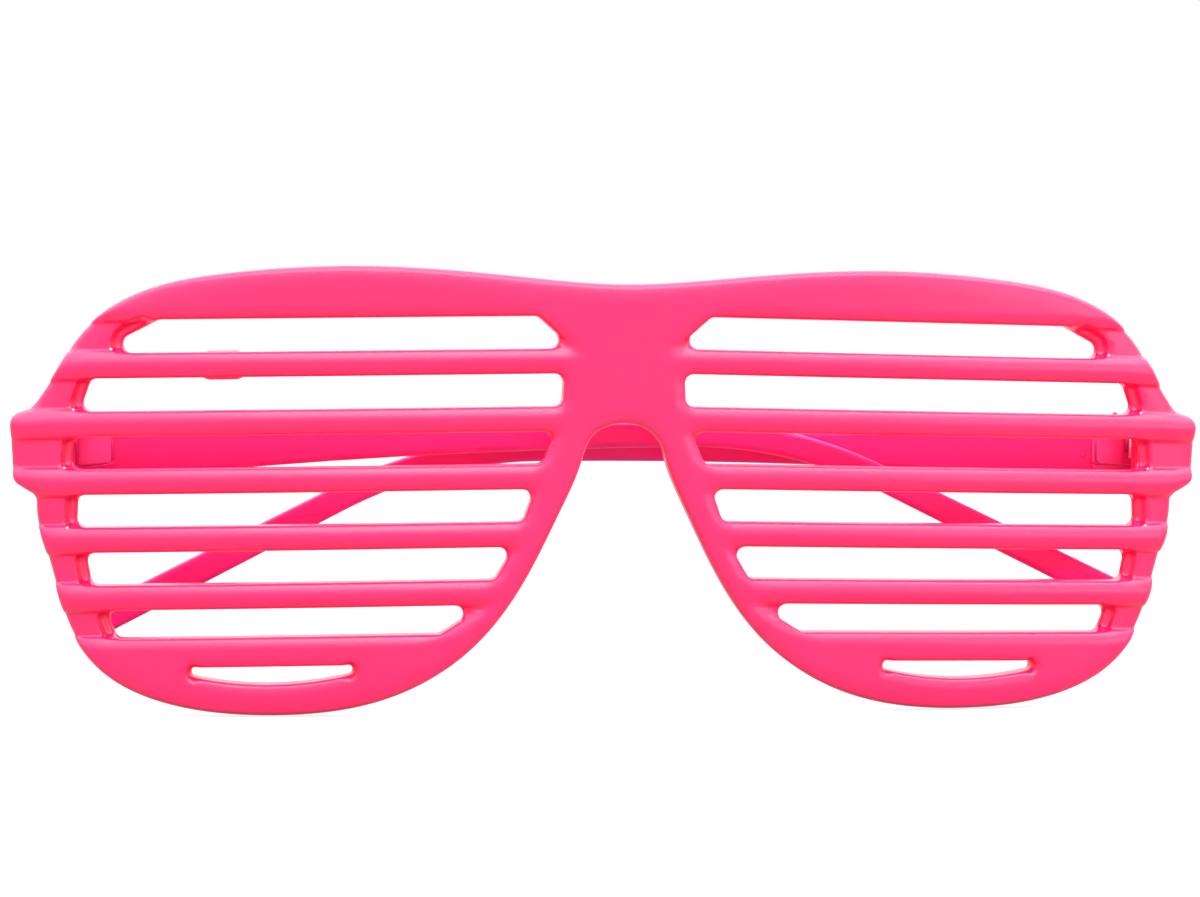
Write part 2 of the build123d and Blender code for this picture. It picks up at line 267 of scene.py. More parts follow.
def crescent_path():
    """Flat above, short upright ends, and a shallow circular arc below. The arc's radius is
    (half width squared + sagitta squared) / (2 sagitta)."""
    (a, b), top = CRESCENT, CRESCENT_TOP
    sagitta, half = CRESCENT_HIGH - CRESCENT_END, (b - a) / 2
    radius = (half ** 2 + sagitta ** 2) / (2 * sagitta)
    swing = math.asin(half / radius) * np.linspace(BOW_SHARE, -BOW_SHARE, 60)
    bow = np.stack(((a + b) / 2 + radius * np.sin(swing),
                    top - CRESCENT_HIGH + radius * (1 - np.cos(swing))), axis=1)
    low = top - CRESCENT_END
    return np.vstack((round_corner((a, low), (a, top), (b, top), CRESCENT_ROUND),
                      round_corner((a, top), (b, top), (b, low), CRESCENT_ROUND),
                      round_corner((b, top), (b, low), bow[0], CRESCENT_ROUND), bow,
                      round_corner(bow[-1], (a, low), (a, top), CRESCENT_ROUND)))


right_slots = [droop(slot_path(i)) for i in range(6)]
right_crescent = droop(crescent_path())
print("slots a side:", len(right_slots),
      "crescent width", round(float(np.ptp(right_crescent[:, 0])), 2))

# %% [markdown]
# ## Shape of the surface
#
# On the real front each slat is rounded, and past the end of a slot the slats run on over the
# outer rim while the panels between them sink back with an S-shaped step. This could be
# sculpted or bevelled. Here every point gets its depth from rules instead, so that each slat
# has the same crown from end to end. First come the distances that the rules work with.

# %% Distances
def band_distance(x, z):
    """Signed distance to the slots, as if each ran on past the outer rim. It is the distance to
    a box with rounded corners that has a slanted nose end and no outer end. The second value
    is the distance to the straight edges alone, negative between them."""
    u, w = slat_frame(x, z)
    u, w = u[..., None], w[..., None]
    high, low = SLOT_TOPS, SLOT_LOWS
    straight = np.maximum(w - high, low - w)
    share = (high - w) / (high - low)
    nose_top, nose_low = SLOT_ENDS[:, 0], SLOT_ENDS[:, 1]
    lean = (nose_low - nose_top) / (high - low)
    nose = (nose_top + (nose_low - nose_top) * share - u) / np.hypot(1, lean)
    a, b = straight + SLOT_ROUND, nose + SLOT_ROUND
    outside = np.hypot(np.maximum(a, 0), np.maximum(b, 0))
    rounded = np.minimum(np.maximum(a, b), 0) + outside - SLOT_ROUND
    return rounded.min(axis=-1), straight.min(axis=-1)


def path_distance(points, path, at_once=1500):
    """Distance to the nearest straight piece of a closed path: each point is projected onto
    every piece, clamped to its ends, and the shortest of these distances is kept."""
    start, run = path, np.roll(path, -1, axis=0) - path
    size = np.maximum((run ** 2).sum(axis=1), 1e-12)
    nearest = []
    for chunk in np.array_split(points, max(1, len(points) // at_once)):
        away = chunk[:, None] - start
        share = np.clip((away * run).sum(axis=-1) / size, 0, 1)
        nearest.append(np.hypot(*np.moveaxis(away - share[..., None] * run, -1, 0)).min(axis=1))
    return np.concatenate(nearest)


middle_of_slot = band_distance(np.array([HALF / 2]), np.array([SLOT_LOWS[1] + SLOT / 3]))
print("inside a slot the distance is", middle_of_slot[0].round(2))

# %% [markdown]
# The whole front wraps round the face on a large circle. A slat's front is a parabola from
# edge to edge, and the step down to a panel is a cubic. The surface could be modelled by eye,
# but as rules each of these shapes has a size with a name, and can be changed by itself.

# %% Depth rules
SLAT_BULGE, SLAT_REACH = 0.55, SLAT / 2
PANEL_SINK = 1.05
PANEL_STEP = 0.5


def wrap(x, radius=WRAP):
    """How far a circle about the wrap axis, behind the middle of the front, has gone back."""
    return WRAP - np.sqrt(radius ** 2 - x ** 2)


def bulge(distance, height, reach):
    """A parabola that is level a given reach from the edge and lower by the height at it."""
    return height * (1 - np.clip(distance, 0, reach) / reach) ** 2


def panel_step(depth_in):
    """S-shaped step from a slat's edge down to the panel: a cubic that leaves the edge with
    the slat's own slope and lands level."""
    t = np.clip(depth_in / PANEL_STEP, 0, 1)
    slope = 2 * SLAT_BULGE / SLAT_REACH * PANEL_STEP
    return ((2 * t ** 3 - 3 * t ** 2 + 1) * SLAT_BULGE + (t ** 3 - 2 * t ** 2 + t) * slope
            + (3 * t ** 2 - 2 * t ** 3) * PANEL_SINK)


print("the wrap takes the ends", round(float(wrap(HALF)), 2), "mm back")

# %% [markdown]
# The front face adds up the wrap, the slats, the panels' steps, and a small fall towards the
# outline and the crescents. The back isn't seen, and such mouldings are plain behind, so the
# back face only wraps. Displacement in a material could look like this, but it would never
# reach the exported mesh.

# %% Depth of the faces
RIM_BULGE, RIM_REACH = 0.35, 2.4
CRESCENT_BULGE, CRESCENT_REACH = 0.3, 1.3


def front_depth(points):
    """Depth of the front face: the wrap, plus the slats' bulge or the panels' step, plus the
    fall towards the outline and the crescents."""
    x, z = points[:, 0], points[:, 1]
    distance, straight = band_distance(x, z)
    slats = np.where(distance >= 0, bulge(distance, SLAT_BULGE, SLAT_REACH),
                     panel_step(-straight))
    rims = bulge(path_distance(points, outline_coarse), RIM_BULGE, RIM_REACH)
    folded = np.stack((np.abs(x), z), axis=1)
    crescents = bulge(path_distance(folded, crescent_coarse), CRESCENT_BULGE, CRESCENT_REACH)
    return wrap(x) + slats + rims + crescents


def back_depth(points):
    """Depth of the back face, on a circle that is the front's depth smaller."""
    return wrap(points[:, 0], WRAP - DEPTH)


print("the back of the bridge is", round(float(back_depth(np.zeros((1, 2)))[0]), 2), "mm deep")

# %% [markdown]
# ## Paths with the right spacing
#
# A rounded corner needs many points and a straight side few, and where an edge crosses a
# panel's step it needs them very close. A Subdivision Surface modifier would add points
# everywhere. So each piece of a path first gets the spacing that is wanted there.

# %% Wanted spacing
TURN = 0.18                 # radians that a path may turn from point to point
LONG_SIDE = 5.0             # a straight side longer than this has its own spacing
RIM_FROM = 0.72 * HALF      # the outer rims begin here
STEP_MARGIN = 0.15
STEP_SPACING = 0.15
LEVEL_SHARE = 0.95          # a piece of path is level if this share of it goes across


def wanted_spacing(path, ahead, long, widest, finest):
    """Spacing on each piece of a closed path, from its direction and its length. It is the
    turn allowed per step over the curvature. A short piece takes the sharpest bend of its
    neighbours, and a piece that crosses a panel's step has the step's own spacing."""
    heading = np.unwrap(np.arctan2(ahead[:, 1], ahead[:, 0]))
    bend = np.abs(np.diff(heading, append=heading[-1])) / long
    grown = np.maximum.reduce([bend, np.roll(bend, 1), np.roll(bend, -1)])
    grown = np.where(long > LONG_SIDE, bend, grown)
    wanted = np.clip(TURN / np.maximum(grown, 1e-6), finest, widest)
    middle = (np.roll(path, -1, axis=0) + path) / 2
    _, straight = band_distance(middle[:, 0], middle[:, 1])
    u, _ = slat_frame(middle[:, 0], middle[:, 1])
    crossing = np.abs(ahead[:, 0]) < LEVEL_SHARE * long
    at_step = (straight > -PANEL_STEP - STEP_MARGIN) & (straight < STEP_MARGIN)
    at_step &= (u > RIM_FROM) & crossing
    return np.where(at_step, np.minimum(wanted, STEP_SPACING), wanted)


square = np.array([(0.0, 0.0), (1.0, 0.0), (1.0, 1.0), (0.0, 1.0)])
print("spacing on a square:",
      wanted_spacing(square, np.roll(square, -1, axis=0) - square, np.ones(4), 0.6, 0.15))

# %% [markdown]
# The path is then measured along its length with that spacing as the ruler, and points are set
# out evenly in this measure. The Resample Curve node in Geometry Nodes could do it too, but
# only with one spacing for a whole curve.

# %% Points along a path
FINEST = 0.15
RULER = 0.02                # steps in which a path's length is measured


def spaced(path, widest, finest=FINEST):
    """Points along a closed path: the running sum of length over wanted spacing is cut into
    equal parts."""
    ahead = np.roll(path, -1, axis=0) - path
    long = np.hypot(*ahead.T)
    path, ahead, long = path[long > 1e-6], ahead[long > 1e-6], long[long > 1e-6]
    wanted = wanted_spacing(path, ahead, long, widest, finest)
    closed = np.vstack((path, path[:1]))
    run = np.concatenate(([0], np.cumsum(long)))
    fine = np.linspace(0, run[-1], int(run[-1] / RULER))
    pace = np.interp(fine, (run[1:] + run[:-1]) / 2, wanted)
    sums = np.concatenate(([0], np.cumsum(np.diff(fine) / ((pace[1:] + pace[:-1]) / 2))))
    marks = np.interp(np.linspace(0, sums[-1], int(sums[-1]) + 1)[:-1], sums, fine)
    return np.stack((np.interp(marks, run, closed[:, 0]),
                     np.interp(marks, run, closed[:, 1])), axis=1)


outline_coarse = spaced(outline_path, widest=0.9, finest=0.3)
crescent_coarse = spaced(right_crescent, widest=0.6)
print("coarse outline:", len(outline_coarse), "coarse crescent:", len(crescent_coarse))

# %% [markdown]
# Each path also needs the direction into the plastic at every point, since the edges are
# rounded that way. Where the outline passes a panel it lies a little further in, because the
# real panels are narrower than the slats that run over them.

# %% Paths
OUTLINE_SPACING, SLOT_SPACING = 0.6, 0.9
PANEL_INSET = 0.1
PANELS_TO = 0.965 * HALF    # where the panels end, short of the lug
PANELS_FADE = 1.5


def inward(path):
    """Unit direction into the plastic at every point, square to the chord of its neighbours."""
    chord = np.roll(path, -1, axis=0) - np.roll(path, 1, axis=0)
    chord /= np.hypot(*chord.T)[:, None]
    return np.stack((-chord[:, 1], chord[:, 0]), axis=1)


def soft_share(x):
    """Runs from 0 to 1 with level ends: 3x^2 - 2x^3."""
    x = np.clip(x, 0, 1)
    return x * x * (3 - 2 * x)


outline = spaced(outline_path, OUTLINE_SPACING)
_, straight = band_distance(*outline.T)
across = np.abs(outline[:, 0])
sunk = (soft_share(-straight / PANEL_STEP) * (across > RIM_FROM)
        * soft_share((PANELS_TO - across) / PANELS_FADE))
paths = [(outline + inward(outline) * (PANEL_INSET * sunk)[:, None], inward(outline))]
for path in right_slots + [right_crescent]:
    right = spaced(path, SLOT_SPACING)
    left = (right * (-1, 1))[::-1]
    paths += [(right, inward(right)), (left, inward(left))]
print("paths:", len(paths), "points:", sum(len(path) for path, _ in paths))

# %% [markdown]
# ## Edges
#
# Moulded edges are rounded, tightly along the slats and widely at a slot's outer end, where
# the real front has a narrow ledge too. A Bevel modifier has one width for all. So each path
# carries a profile from the front face over a quarter round, down the wall and over a smaller
# quarter round onto the back face, and the profile changes on its way.

# %% Edge sizes
OUTLINE_EDGE = 0.7
SLAT_EDGE, END_WIDER, END_DEEPER, END_FADE = 0.36, 1.2, 1.34, 0.9
# The last size is how much painted shade a crescent's tips get.
CRESCENT_EDGE, TIP_WIDER, TIP_DEEPER, TIP_PAINTED_SHADE = 0.4, 0.6, 0.8, 0.8
TIP_FROM, TIP_FADE = 0.85, 0.15


def edge_size(path):
    """Width and depth of the front edge's quarter round at each point, its share of ledge and its
    share of painted shade: small along slats, wide and deep with a ledge at a slot's outer end,
    wider at a crescent's tips, and middling on the outline."""
    none = np.zeros(len(path))
    u, w = slat_frame(path[:, 0], path[:, 1])
    tall = w.max() - w.min()
    if tall > 2 * SLOT:
        return none + OUTLINE_EDGE, none + OUTLINE_EDGE, none, none
    if tall < (CRESCENT_HIGH + LAST_SLOT) / 2:
        ends = np.abs(u - sum(CRESCENT) / 2) / (CRESCENT[1] - CRESCENT[0]) * 2
        t = soft_share((ends - TIP_FROM) / TIP_FADE)
        return CRESCENT_EDGE + TIP_WIDER * t, CRESCENT_EDGE + TIP_DEEPER * t, none, TIP_PAINTED_SHADE * t
    _, straight = band_distance(path[:, 0], path[:, 1])
    t = soft_share(-straight / END_FADE) * (u > (u.max() + u.min()) / 2)
    return SLAT_EDGE + END_WIDER * t, SLAT_EDGE + END_DEEPER * t, t, t


print("widest edge:", round(max(float(edge_size(path)[0].max()) for path, _ in paths), 2), "mm")

# %% [markdown]
# The light draws a line along the slats' front edges, and their back edges hardly show. So the
# profile has nine points on the front edge and three on the back one. Carried along a path it
# gives a band, which is a grid of points that closes on itself.

# %% Edge bands
FRONT_ARC = np.radians(np.linspace(90, 0, 9))
LEDGE = np.array([(1.0, 0.0), (0.93, 0.05), (0.83, 0.17), (0.70, 0.36), (0.56, 0.51),
                  (0.43, 0.54), (0.25, 0.57), (0.08, 0.74), (0.0, 1.0)])
BACK_ARC = np.radians(np.linspace(0, 90, 3))
BACK_ROUND = 0.35


def edge_band(path, normal):
    """Grid of points, profile by path. A quarter round of width w and depth d goes w(1 - cos)
    into the plastic and d(1 - sin) below the face. At a slot's outer end it turns into two
    smaller rounds with a narrow ledge between them."""
    wide, deep, ledge, _ = edge_size(path)
    rows = []
    for angle, (out, down) in zip(FRONT_ARC, LEDGE):
        out = (1 - math.cos(angle)) * (1 - ledge) + out * ledge
        down = (1 - math.sin(angle)) * (1 - ledge) + down * ledge
        spot = path + normal * (wide * out)[:, None]
        rows.append((spot, front_depth(spot) + deep * down))
    for angle in BACK_ARC:
        spot = path + normal * BACK_ROUND * (1 - math.cos(angle))
        rows.append((spot, back_depth(spot) - BACK_ROUND * (1 - math.sin(angle))))
    return np.stack([np.stack((spot[:, 0], y, spot[:, 1]), axis=1) for spot, y in rows])


bands = [edge_band(*path) for path in paths]
print("profile points:", len(bands[0]),
      "band points:", sum(b.shape[0] * b.shape[1] for b in bands))

# %% [markdown]
# Deep in the slots' outer ends the plastic lies in shade, and that shade is painted on as a dark
# red. An object of its own there would have a seam. So a share of painted shade is kept for each
# point of the profile, and the plastic's material reads it later.

# %% Painted shade in the slots' ends
# Shares of painted shade along the front and back profile, and the part of it that the right side
# keeps.
FRONT_PAINTED_SHADE = [0.3, 0.8, 1.0, 1.0, 0.9, 0.1, 0.3, 0.9, 1.0]
BACK_PAINTED_SHADE = [1.0, 0.8, 0.6]
PAINTED_SHADE_ON_RIGHT = 0.6


def edge_shade(path):
    """Share of painted shade, profile by path: most in the first step, little on the ledge, and
    much again on the wall. The right side, which gets more light, has less of it."""
    profile = np.array(FRONT_PAINTED_SHADE + BACK_PAINTED_SHADE)
    side_share = np.where(path[:, 0] < 0, 1.0, PAINTED_SHADE_ON_RIGHT)
    return profile[:, None] * (edge_size(path)[3] * side_share)


shades = np.concatenate([edge_shade(path).ravel() for path, _ in paths])
print("points with some dark:", int((shades > 0).sum()), "of", len(shades))

# %% [markdown]
# ## Sheets between the bands
#
# The front and back faces are smooth sheets between the edges. A boolean cut would leave long
# thin triangles there, and they show as streaks on a glossy surface. So the sheets are filled
# with even grid points and a Delaunay triangulation, which meets the bands point for point.
# First come the tests that say which grid points are wanted.

# %% Inside or outside
def near(points, path, margin):
    """True where a point lies in the upright box round a path, grown by a margin."""
    low, high = path.min(axis=0) - margin, path.max(axis=0) + margin
    return ((points > low) & (points < high)).all(axis=1)


def inside(points, path, at_once=1500):
    """True where a point lies inside a closed path: a ray to the right of it crosses the path
    an odd number of times."""
    x0, z0 = path.T
    x1, z1 = np.roll(path, -1, axis=0).T
    found = np.zeros(len(points), bool)
    close = np.flatnonzero(near(points, path, 0))
    for chunk in np.array_split(close, max(1, len(close) // at_once)):
        px, pz = points[chunk, :1], points[chunk, 1:]
        spans = (z0 > pz) != (z1 > pz)
        reach = x0 + (pz - z0) / np.where(z1 == z0, 1e-12, z1 - z0) * (x1 - x0)
        found[chunk] = (spans & (px < reach)).sum(axis=1) % 2 == 1
    return found


print("the bridge is inside the outline:", inside(np.array([(0.0, 5.0)]), outline_path)[0])

# %% [markdown]
# The grid follows the slats. Its rows are close together, because the surface curves across
# them, and its columns are wide apart, because along them it hardly does. Over the steps on
# the outer rims it is finer still.

# %% Grid points
COLUMN_GAP, ROW_GAP = 0.95, 0.36
FIRST_COLUMN = 0.3
ABOVE_SLOTS, BELOW_SLOTS = 10, 14
COARSE_TO, FINE_FROM = 0.75 * HALF, 0.76 * HALF
FINE_COLUMN_GAP = 0.42
FINE_ROWS = np.linspace(-0.12, PANEL_STEP + 0.1, 8)
CLEAR = 0.2


def sheet_grid():
    """Points between the edges: rows along the slats, with every second column half a row
    higher, and rows at fixed distances from the slots' edges over the steps."""
    rows = np.arange(SLOT_LOWS[-1] - BELOW_SLOTS, SLOT_TOPS[0] + ABOVE_SLOTS, ROW_GAP)
    u, w = np.meshgrid(np.arange(FIRST_COLUMN, HALF, COLUMN_GAP), rows, indexing="ij")
    w = w + ROW_GAP / 2 * (np.arange(w.shape[0]) % 2)[:, None]
    plain = np.stack((u.ravel(), w.ravel()), axis=1)
    edges = np.concatenate((SLOT_TOPS[:, None] - FINE_ROWS, SLOT_LOWS[:, None] + FINE_ROWS)).ravel()
    u, w = np.meshgrid(np.arange(FINE_FROM, HALF, FINE_COLUMN_GAP), edges, indexing="ij")
    steps = np.stack((u.ravel(), w.ravel()), axis=1)
    far = np.min(np.abs(plain[:, 1:] - edges), axis=1) > CLEAR
    right = droop(np.vstack((plain[far | (plain[:, 0] < COARSE_TO)], steps)))
    right = right[right[:, 0] > CLEAR]
    return np.vstack((right, right * (-1, 1)))


grid_points = sheet_grid()
print("grid points before they are cut to the plastic:", len(grid_points))

# %% [markdown]
# Only the grid points in the plastic stay, and none too close to an edge, where they would
# leave slivers. Blender's own Fill would join the edges with long triangles across the whole
# face. The constrained triangulation in mathutils takes the grid points too, and keeps every
# edge that it is given.

# %% Sheets
FRONT_MARGIN, BACK_MARGIN = 0.13, 0.2


def sheet(rings, margin):
    """Grid points that are inside the outline and outside the slots, at least a margin from
    each, triangulated together with the rings so that the rings' own edges are kept."""
    keep = inside(grid_points, rings[0])
    for ring in rings[1:]:
        keep &= ~inside(grid_points, ring)
    grid = grid_points[keep]
    for ring in rings:
        close = np.flatnonzero(near(grid, ring, margin))
        grid = np.delete(grid, close[path_distance(grid[close], ring) <= margin], axis=0)
    points = np.vstack(rings + [grid])
    starts = np.cumsum([0] + [len(r) for r in rings])
    ties = np.vstack([np.stack((s + np.arange(len(r)), s + (np.arange(len(r)) + 1) % len(r)),
                               axis=1) for s, r in zip(starts, rings)])
    result = delaunay_2d_cdt([Vector(p) for p in points.tolist()], ties.tolist(), [], 0, 1e-7)
    origin = np.array([o[0] if o else -1 for o in result[3]])
    faces = origin[np.array(result[2])]
    middle = points[faces].mean(axis=1)
    solid = inside(middle, rings[0])
    for ring in rings[1:]:
        solid &= ~inside(middle, ring)
    return grid, faces[solid & (faces >= 0).all(axis=1)]


front_grid, front_faces = sheet([b[0][:, [0, 2]] for b in bands], FRONT_MARGIN)
back_grid, back_faces = sheet([b[-1][:, [0, 2]] for b in bands], BACK_MARGIN)
print("front sheet:", len(front_faces), "back sheet:", len(back_faces), "triangles")

# %% [markdown]
# ## The front's mesh
#
# The real front is one piece of plastic, so it becomes one closed skin. Bands and sheets could
# be separate objects joined by a Weld modifier, but they have their points in common already,
# and so the faces only need the right numbers.

# %% Mesh helpers
def mesh_object(name, points, quads=(), triangles=(), smooth=True):
    """Object whose points are given in millimetres, with its faces in whole arrays."""
    mesh = bpy.data.meshes.new(name)
    corners = np.concatenate([np.asarray(f, np.int32).ravel() for f in (quads, triangles)
                              if len(f)])
    sizes = np.concatenate((np.full(len(quads), 4, np.int32),
                            np.full(len(triangles), 3, np.int32)))
    starts = np.concatenate(([0], np.cumsum(sizes)[:-1])).astype(np.int32)
    mesh.vertices.add(len(points))
    mesh.vertices.foreach_set("co", (np.asarray(points) * MM).ravel())
    mesh.loops.add(len(corners))
    mesh.loops.foreach_set("vertex_index", corners)
    mesh.polygons.add(len(sizes))
    mesh.polygons.foreach_set("loop_start", starts)
    mesh.polygons.foreach_set("use_smooth", np.full(len(sizes), smooth))
    mesh.update(calc_edges=True)
    mesh.validate()
    thing = bpy.data.objects.new(name, mesh)
    bpy.context.collection.objects.link(thing)
    return thing


def band_quads(rows, columns, start=0):
    """Quads of a grid that closes on itself along its columns, facing away from the plastic."""
    r, c = np.meshgrid(np.arange(rows - 1), np.arange(columns), indexing="ij")
    n = (c + 1) % columns
    quad = np.stack((r * columns + c, (r + 1) * columns + c, (r + 1) * columns + n,
                     r * columns + n), axis=-1)
    return quad.reshape(-1, 4) + start


print("a band of 3 by 5 points has", len(band_quads(3, 5)), "quads")

# %% [markdown]
# The bands come first in the list of points, and then the grid points of the two sheets. A
# sheet's triangles count their points from the sheet's first one, so two lists turn that into
# the mesh's own count. The share of dark goes in as an attribute of the points.

# %% Front moulding
points, quads, front_index, back_index, total = [], [], [], [], 0
for band in bands:
    rows, columns = band.shape[:2]
    points.append(band.reshape(-1, 3))
    quads.append(band_quads(rows, columns, total))
    front_index.append(total + np.arange(columns))
    back_index.append(total + (rows - 1) * columns + np.arange(columns))
    total += rows * columns
for grid, index, depth in ((front_grid, front_index, front_depth),
                           (back_grid, back_index, back_depth)):
    points.append(np.stack((grid[:, 0], depth(grid), grid[:, 1]), axis=1))
    index.append(total + np.arange(len(grid)))
    total += len(grid)
front_index, back_index = np.concatenate(front_index), np.concatenate(back_index)
triangles = np.vstack((front_index[front_faces], back_index[back_faces][:, ::-1]))
front = mesh_object("front_moulding", np.vstack(points), np.vstack(quads), triangles)
# The attribute shade holds the share of painted shade for the material.
shade = front.data.attributes.new("shade", "FLOAT", "POINT")
shade.data.foreach_set("value", np.pad(shades, (0, len(front.data.vertices) - len(shades))))
print("front_moulding:", len(front.data.vertices), "points,",
      len(front.data.polygons), "faces")

# %% [markdown]
# ## Lugs
#
# Behind each end of the front stands a block that holds the hinge. A cube with a Bevel
# modifier would have the same rounding on every side. The real block is eased along its back
# only, so a squared path is moved back in steps, and its end is closed over the middle.

# %% Stacked levels
def end_caps(count, total):
    """Triangles that close a grid's first and last row of points. Each fans out from a middle
    point, and the two middle points come right after the grid's own."""
    spokes = np.arange(count)
    ahead = (spokes + 1) % count
    last = total - count
    return np.vstack((
        np.stack((np.full(count, total), spokes, ahead), axis=1),
        np.stack((np.full(count, total + 1), last + ahead, last + spokes), axis=1)))


def stacked(name, path, levels):
    """Closed skin from one path in X and Z: each level moves the path inwards and back by its
    two numbers, and the first and last level are closed to their middle."""
    normal = inward(path)
    rows = [np.insert(path + normal * step, 1, depth, axis=1) for step, depth in levels]
    grid = np.vstack(rows + [[rows[0].mean(axis=0), rows[-1].mean(axis=0)]])
    caps = end_caps(len(path), len(grid) - 2)
    return mesh_object(name, grid, band_quads(len(rows), len(path)), caps)


def round_back(radius, back, steps=5):
    """Levels of a quarter round that ends at the back."""
    angles = np.radians(np.linspace(0, 90, steps))
    return [(radius * (1 - math.cos(a)), back - radius * (1 - math.sin(a))) for a in angles]


print("levels of a round back:", len(round_back(1.0, 0.0)))

# %% [markdown]
# Each lug begins inside the moulding, so that no gap shows between the two, and its outer
# corners have the front's own rounding. A Mirror modifier could make the left one from the
# right one. Here the path is mirrored and turned round, which keeps its faces pointing outwards.

# %% Lugs
LUG_INNER_ROUND = 0.6
LUG_SHRINK = 0.03     # keeps the lug's sides just inside the front's own
LUG_FROM = 6.5        # the lug begins inside the moulding
LUG_EDGE = 0.45
LUG_SHORT = 0.02
inner = HALF - LUG_LONG
inner_low, inner_top = (inner, LUG_LOW), (inner, LUG_TOP)
lug_path = np.vstack((round_corner(inner_low, inner_top, lug_upper, LUG_INNER_ROUND),
                      round_corner(inner_top, lug_upper, lug_lower, LUG_ROUND),
                      round_corner(lug_upper, lug_lower, inner_low, LUG_ROUND),
                      round_corner(lug_lower, inner_low, inner_top, LUG_INNER_ROUND)))[::-1]
lug_path = lug_path + inward(lug_path) * LUG_SHRINK
lug_levels = [(0.0, LUG_FROM)] + round_back(LUG_EDGE, LUG_BACK - LUG_SHORT)
right_lug = stacked("right_lug", lug_path, lug_levels)
left_lug = stacked("left_lug", (lug_path * (-1, 1))[::-1], lug_levels)
print("lug depth", lug_levels[-1][1] - lug_levels[0][1])

# %% [markdown]
# ## Moulding marks
#
# An oval pad behind the first slat of one lens shows above and below the slat. Such pads are
# where the ejector pushed the moulding out. A squashed cylinder would do from the front, but
# stacked levels give it the rounded back edge that a moulding has.

# %% Ejector pad
PAD_AT, PAD_BELOW = 48.7, 0.1
PAD_LONG, PAD_TALL, PAD_ROUND = 6.2, 3.6, 1.62
PAD_STANDS, PAD_DEEP, PAD_EDGE = 0.8, 1.5, 0.3
pad_z = FIRST_SLOT - SLOT - SLAT / 2 - PAD_BELOW
pad_left, pad_right = PAD_AT - PAD_LONG / 2, PAD_AT + PAD_LONG / 2
pad_top, pad_low = pad_z + PAD_TALL / 2, pad_z - PAD_TALL / 2
pad_path = droop(rounded_path([(pad_left, pad_top), (pad_right, pad_top),
                               (pad_right, pad_low), (pad_left, pad_low)],
                              PAD_ROUND)) * (-1, 1)
pad_back = float(wrap(PAD_AT, WRAP - DEPTH)) + PAD_STANDS
pad_levels = [(PAD_EDGE, pad_back - PAD_DEEP)] + round_back(PAD_EDGE, pad_back)
ejector_pad = stacked("ejector_pad", pad_path, pad_levels)
print("pad back at", round(pad_back, 2))

# %% [markdown]
# ## Small marks
#
# The real moulding has welled-up plastic beside its hinge plates and a nub of flash. Dark lines
# round the plates are painted shade of the gaps there, and pale balls in the panels' corners are
# painted glints. Bump in a material would only shade them, and they stand up enough to catch the
# light, so they are thin tubes and small balls.

# %% Tubes
def tube(path, radii, sides=10):
    """Closed skin round a path. At each point stands a circle square to the path, centre plus
    radius times cosine and sine of two directions, and the ends close over their middle."""
    path = np.asarray(path, float)
    along = np.gradient(path, axis=0)
    across = np.cross(along, (0, 1, 0))
    across /= np.linalg.norm(across, axis=1)[:, None]
    deep = np.cross(along, across)
    deep /= np.linalg.norm(deep, axis=1)[:, None]
    turn = np.linspace(0, 2 * math.pi, sides, endpoint=False)[None, :, None]
    wide = np.broadcast_to(radii, len(path))[:, None, None]
    ring = np.cos(turn) * across[:, None] + np.sin(turn) * deep[:, None]
    grid = (path[:, None] + wide * ring).reshape(-1, 3)
    points = np.vstack((grid, path[:1], path[-1:]))
    quads = band_quads(len(path), sides)
    caps = end_caps(sides, len(grid))
    halves = np.vstack((quads[:, :3], quads[:, [0, 2, 3]], caps))
    a, b, c = (points[halves[:, i]] for i in range(3))
    if (a * np.cross(b, c)).sum() < 0:
        quads, caps = quads[:, ::-1], caps[:, ::-1]
    return points, quads, caps


print("a tube of 3 circles has", len(tube([(0, 0, 0), (1, 0, 0), (2, 0, 0)], 0.1)[0]), "points")

# %% [markdown]
# A ball is a tube too, with a radius that grows and shrinks. A UV sphere would do as well, but
# not in the same mesh. The marks of one kind on one body go into a single mesh, because they
# move together and take one finish.

# %% Balls, and marks put together
BALL_END = 0.12       # angle left off at both ends of a ball, where the caps close it


def ball(centre, radius):
    """A sphere as a tube: the path is radius times cosine, its radii radius times sine."""
    t = np.linspace(BALL_END, math.pi - BALL_END, 9)
    return tube(np.asarray(centre) + radius * np.cos(t)[:, None] * (1, 0, 0),
                radius * np.sin(t))


def together(name, skins, body):
    """One object from several skins, which rides on a body."""
    starts = np.cumsum([0] + [len(skin[0]) for skin in skins])
    thing = mesh_object(name, np.vstack([skin[0] for skin in skins]),
                        np.vstack([skin[1] + start for skin, start in zip(skins, starts)]),
                        np.vstack([skin[2] + start for skin, start in zip(skins, starts)]))
    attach(thing, body)
    return thing


print("a ball has", len(ball((0, 0, 0), 1.0)[0]), "points")

# %% [markdown]
# The plates of the hinges lie in the temples' inner sides. When folded, those sides lean a
# little over a degree from straight across, so the marks are drawn in X and Z and their depth
# follows from that slope. They ride on the temples, and so they stay on them when these open.

# %% Places on the hinge plates
LEFT_PLATE = (-62.6, 11.35, -math.tan(math.radians(1.4)))
RIGHT_PLATE = (63.1, 11.70, -math.tan(math.radians(1.3)))
PROUD = 0.02          # how far a mark's middle line stands off the plate


def on_plate(spots, start, depth, fall, proud=PROUD):
    """Points on the upright plane of a folded temple's plate: its depth grows from a start by
    a fixed fall per millimetre across."""
    spots = np.asarray(spots, float)
    return np.insert(spots, 1, depth + fall * (spots[:, 0] - start) - proud, axis=1)


def bent(corners, radius):
    """Open path of straight sides with rounded corners between them."""
    turns = [round_corner(*corners[i:i + 3], radius, 9) for i in range(len(corners) - 2)]
    return np.vstack([corners[:1]] + turns + [corners[-1:]])


print("the plates' depths at their starts:", LEFT_PLATE[1], RIGHT_PLATE[1])
